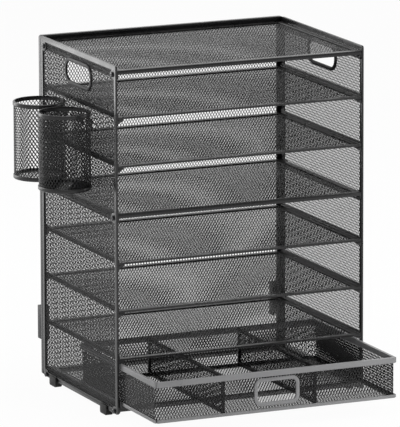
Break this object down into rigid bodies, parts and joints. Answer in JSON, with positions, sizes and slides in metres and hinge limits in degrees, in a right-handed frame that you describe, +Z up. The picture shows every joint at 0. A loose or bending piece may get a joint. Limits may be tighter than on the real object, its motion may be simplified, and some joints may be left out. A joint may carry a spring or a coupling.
{
  "type": "desk paper organizer",
  "caption": "Black steel-mesh desk paper organizer with open shelves between mesh side panels, a divided pull-out drawer at the foot and pen cups hooked on one side.",
  "frame": {"origin": "on the ground, in the middle of the rack's footprint", "axes": "+X to the right as seen from the front, +Y to the back, +Z up"},
  "size_m": [0.3971, 0.357, 0.437],
  "materials": {
    "coated_hem": "satin black powder coat",
    "coated_mesh": "satin black powder coat on expanded steel",
    "blackened_fastener": "blackened steel",
    "black_nylon": "moulded nylon",
    "foot_rubber": "matte"
  },
  "bodies": {
    "rack": {"left_side_frame": "coated_hem", "left_side_mesh": "coated_mesh", "left_handle_ring": "coated_hem", "left_shelf_rests": "coated_hem", "left_runner": "coated_hem", "left_glide": "black_nylon", "left_rear_bumper": "black_nylon", "front_left_foot": "foot_rubber", "rear_left_foot": "foot_rubber", "right_side_frame": "coated_hem", "right_side_mesh": "coated_mesh", "right_handle_ring": "coated_hem", "right_shelf_rests": "coated_hem", "right_runner": "coated_hem", "right_glide": "black_nylon", "right_rear_bumper": "black_nylon", "front_right_foot": "foot_rubber", "rear_right_foot": "foot_rubber", "back_frame": "coated_hem", "back_mesh": "coated_mesh", "top_shelf_frame": "coated_hem", "top_shelf_mesh": "coated_mesh", "shelf_1_frame": "coated_hem", "shelf_1_mesh": "coated_mesh", "shelf_2_frame": "coated_hem", "shelf_2_mesh": "coated_mesh", "shelf_3_frame": "coated_hem", "shelf_3_mesh": "coated_mesh", "shelf_4_frame": "coated_hem", "shelf_4_mesh": "coated_mesh", "shelf_5_frame": "coated_hem", "shelf_5_mesh": "coated_mesh", "shelf_6_frame": "coated_hem", "shelf_6_mesh": "coated_mesh", "base_frame": "coated_hem", "base_mesh": "coated_mesh", "screws": "blackened_fastener", "nuts": "blackened_fastener"},
    "drawer": {"drawer_rim": "coated_hem", "drawer_bottom_frame": "coated_hem", "drawer_wall_mesh": "coated_mesh", "drawer_floor_mesh": "coated_mesh", "drawer_pull_ring": "coated_hem", "left_divider_frame": "coated_hem", "left_divider_mesh": "coated_mesh", "right_divider_frame": "coated_hem", "right_divider_mesh": "coated_mesh"},
    "front_cup": {"front_cup_wall": "coated_mesh", "front_cup_rim": "coated_hem", "front_cup_base_ring": "coated_hem", "front_cup_floor": "coated_mesh", "front_cup_hooks": "coated_hem"},
    "rear_cup": {"rear_cup_wall": "coated_mesh", "rear_cup_rim": "coated_hem", "rear_cup_base_ring": "coated_hem", "rear_cup_floor": "coated_mesh", "rear_cup_hooks": "coated_hem"}
  },
  "joints": [
    {"name": "drawer_slide", "type": "slide", "parent": "rack", "child": "drawer", "axis": [0, -1, 0], "range_m": [-0.105, 0.055]},
    {"name": "front_cup_lift", "type": "slide", "parent": "rack", "child": "front_cup", "axis": [-0.7071, 0, 0.7071], "range_m": [0, 0.06]},
    {"name": "rear_cup_lift", "type": "slide", "parent": "rack", "child": "rear_cup", "axis": [-0.7071, 0, 0.7071], "range_m": [0, 0.06]}
  ]
}
